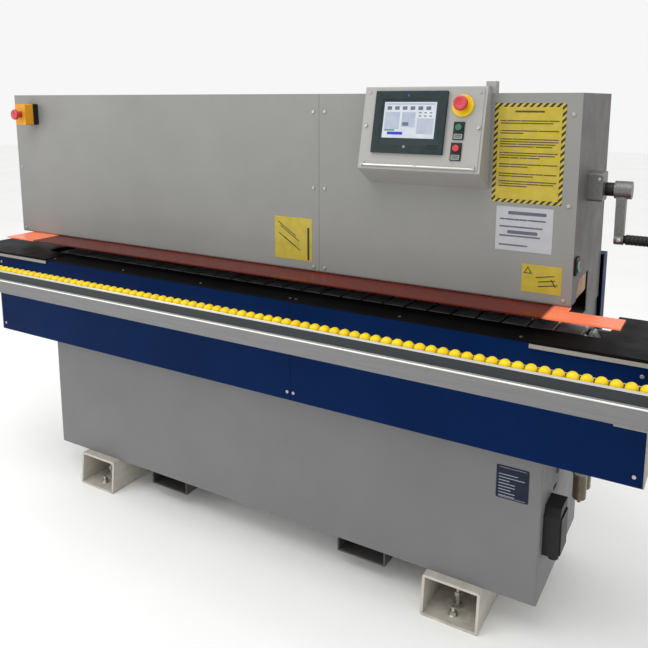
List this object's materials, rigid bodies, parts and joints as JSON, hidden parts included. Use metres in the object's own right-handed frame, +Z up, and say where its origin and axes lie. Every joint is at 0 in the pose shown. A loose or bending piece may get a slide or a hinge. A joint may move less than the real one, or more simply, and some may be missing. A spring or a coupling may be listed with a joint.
{
  "type": "edge banding machine",
  "caption": "Through-feed edge banding machine: hooded working units over a padded track, pull-out roller support, control console, height crank, cabinet on foot tubes.",
  "frame": {"origin": "on the floor, at the centre of the four anchor holes in the foot tubes", "axes": "+X towards the infeed end with the crank, +Y to the back, +Z up"},
  "size_m": [2.712, 0.842, 1.548],
  "materials": {
    "cabinet_grey": "satin powder coat",
    "hood_grey": "satin powder coat",
    "foot_beige": "satin enamel",
    "blue_paint": "satin powder coat",
    "bed_grey": "satin enamel",
    "black_paint": "satin powder coat",
    "light_grey_paint": "satin powder coat",
    "pad_rubber": "ribbed",
    "steel": "ground",
    "zinc_steel": "zinc plated",
    "cast_metal": "cast",
    "rail_aluminium": "anodised",
    "roller_yellow": "gloss",
    "orange_acrylic": "gloss",
    "black_plastic": "matte",
    "screen_plastic": "matte",
    "warning_yellow": "matte",
    "signal_red": "gloss",
    "signal_green": "gloss",
    "bowl_clear": "clear",
    "motor_blue_grey": "satin enamel",
    "plate_navy": "printed"
  },
  "bodies": {
    "machine": {"base_cabinet": "cabinet_grey", "foot_tube_left": "foot_beige", "foot_tube_right": "foot_beige", "levelling_bolts": "zinc_steel", "fork_pockets": "bed_grey", "data_plate": "plate_navy", "supply_inlet": "black_plastic", "air_unit": "cast_metal", "filter_bowls": "bowl_clear", "machine_bed": "bed_grey", "track_guide": "steel", "sprocket_bearings": "cast_metal", "feed_gearmotor": "motor_blue_grey", "apron_left": "blue_paint", "apron_right": "blue_paint", "front_ledge": "black_paint", "end_table_left": "black_paint", "end_table_right": "black_paint", "grey_trims": "light_grey_paint", "rear_cover": "blue_paint", "cover_screws": "zinc_steel", "hood_front_left": "hood_grey", "hood_front_right": "hood_grey", "hood_shell": "hood_grey", "hood_end_left": "hood_grey", "hood_end_right": "hood_grey", "guard_shelf": "orange_acrylic", "dust_spigots": "zinc_steel", "unit_beam": "bed_grey", "crank_gearbox": "cast_metal", "glue_pot": "steel", "trim_motors": "motor_blue_grey", "control_box": "light_grey_paint", "control_panel": "light_grey_paint", "touch_screen": "screen_plastic", "stop_housings": "warning_yellow", "button_plates": "black_plastic"},
    "rear_door": {"rear_door": "cabinet_grey"},
    "regulator_knob": {"regulator_knob": "black_plastic"},
    "track_upper": {"track_pads_upper": "pad_rubber"},
    "track_lower": {"track_pads_lower": "pad_rubber"},
    "drive_sprocket": {"drive_sprocket": "steel"},
    "idler_sprocket": {"idler_sprocket": "steel"},
    "pressure_beam": {"pressure_beam": "light_grey_paint", "pressure_wheels": "pad_rubber"},
    "lift_screw": {"lift_screw": "steel"},
    "crank": {"crank": "cast_metal"},
    "crank_grip": {"crank_grip": "black_plastic"},
    "glue_roller": {"glue_roller": "steel"},
    "end_trim_saw": {"end_trim_saw": "steel"},
    "panel_support": {"support_rail": "rail_aluminium", "support_rods": "steel", "roller_channel": "rail_aluminium", "panel_rollers": "roller_yellow"},
    "end_roller": {"end_roller": "roller_yellow"},
    "emergency_button": {"emergency_button": "signal_red"},
    "side_emergency_button": {"side_emergency_button": "signal_red"},
    "start_button": {"start_button": "signal_green"},
    "stop_button": {"stop_button": "signal_red"},
    "side_switch": {"side_switch": "signal_green"}
  },
  "joints": [
    {"name": "door_swing", "type": "hinge", "parent": "machine", "child": "rear_door", "pos_m": [-0.65, 0.26, 0.3625], "axis": [0, 0, 1], "range_deg": [0, 110]},
    {"name": "regulator_turn", "type": "hinge", "parent": "machine", "child": "regulator_knob", "pos_m": [1.022, -0.06, 0.5], "axis": [0, 0, 1], "range_deg": [0, 270]},
    {"name": "track_feed", "type": "slide", "parent": "machine", "child": "track_upper", "axis": [-1, 0, 0], "range_m": [0, 0.07]},
    {"name": "track_return", "type": "slide", "parent": "machine", "child": "track_lower", "axis": [1, 0, 0], "range_m": [0, 0.0705]},
    {"name": "drive_spin", "type": "hinge", "parent": "machine", "child": "drive_sprocket", "pos_m": [-0.89, -0.184, 0.83938], "axis": [0, -1, 0], "range_deg": [0, 60.5]},
    {"name": "idler_spin", "type": "hinge", "parent": "machine", "child": "idler_sprocket", "pos_m": [1, -0.184, 0.83938], "axis": [0, -1, 0], "range_deg": [0, 60.5]},
    {"name": "crank_turn", "type": "hinge", "parent": "machine", "child": "crank", "pos_m": [1.05, -0.019, 1.262], "axis": [1, 0, 0], "range_deg": [0, 3240]},
    {"name": "pressure_lift", "type": "slide", "parent": "machine", "child": "pressure_beam", "axis": [0, 0, 1], "range_m": [0, 0.0455]},
    {"name": "lift_screw_turn", "type": "hinge", "parent": "machine", "child": "lift_screw", "pos_m": [0.86, -0.019, 1.1], "axis": [0, 0, 1], "range_deg": [0, 3245]},
    {"name": "grip_spin", "type": "hinge", "parent": "crank", "child": "crank_grip", "pos_m": [1.11, -0.019, 1.128], "axis": [1, 0, 0], "continuous": true},
    {"name": "glue_roller_spin", "type": "hinge", "parent": "machine", "child": "glue_roller", "pos_m": [0.55, -0.086, 1.04], "axis": [0, 0, 1], "continuous": true},
    {"name": "saw_spin", "type": "hinge", "parent": "machine", "child": "end_trim_saw", "pos_m": [-0.06, -0.01, 1.02], "axis": [0, 0, 1], "continuous": true},
    {"name": "support_pull", "type": "slide", "parent": "machine", "child": "panel_support", "axis": [0, -1, 0], "range_m": [0, 0.3]},
    {"name": "end_roller_spin", "type": "hinge", "parent": "panel_support", "child": "end_roller", "pos_m": [1.2475, -0.507, 0.901], "axis": [0, 1, 0], "continuous": true},
    {"name": "emergency_press", "type": "slide", "parent": "machine", "child": "emergency_button", "axis": [0, 0.9766, -0.2151], "range_m": [0, 0.005], "stiffness_N_per_m": 800, "springref_m": -0.001},
    {"name": "side_emergency_press", "type": "slide", "parent": "machine", "child": "side_emergency_button", "axis": [0, 1, 0], "range_m": [0, 0.005], "stiffness_N_per_m": 800, "springref_m": -0.001},
    {"name": "start_press", "type": "slide", "parent": "machine", "child": "start_button", "axis": [0, 0.9766, -0.2151], "range_m": [0, 0.003], "stiffness_N_per_m": 500, "springref_m": -0.001},
    {"name": "stop_press", "type": "slide", "parent": "machine", "child": "stop_button", "axis": [0, 0.9766, -0.2151], "range_m": [0, 0.003], "stiffness_N_per_m": 500, "springref_m": -0.001},
    {"name": "side_switch_rock", "type": "hinge", "parent": "machine", "child": "side_switch", "pos_m": [0.9953, -0.143, 1.0685], "axis": [0, 1, 0], "range_deg": [-5, 5]}
  ],
  "couplings": [
    {"joint": "track_return", "follows": "track_feed", "ratio": 1},
    {"joint": "drive_spin", "follows": "track_feed", "rad_per_m": 14.96},
    {"joint": "idler_spin", "follows": "track_feed", "rad_per_m": 14.96},
    {"joint": "pressure_lift", "follows": "crank_turn", "m_per_rad": 0.00079577},
    {"joint": "lift_screw_turn", "follows": "crank_turn", "ratio": 1}
  ]
}
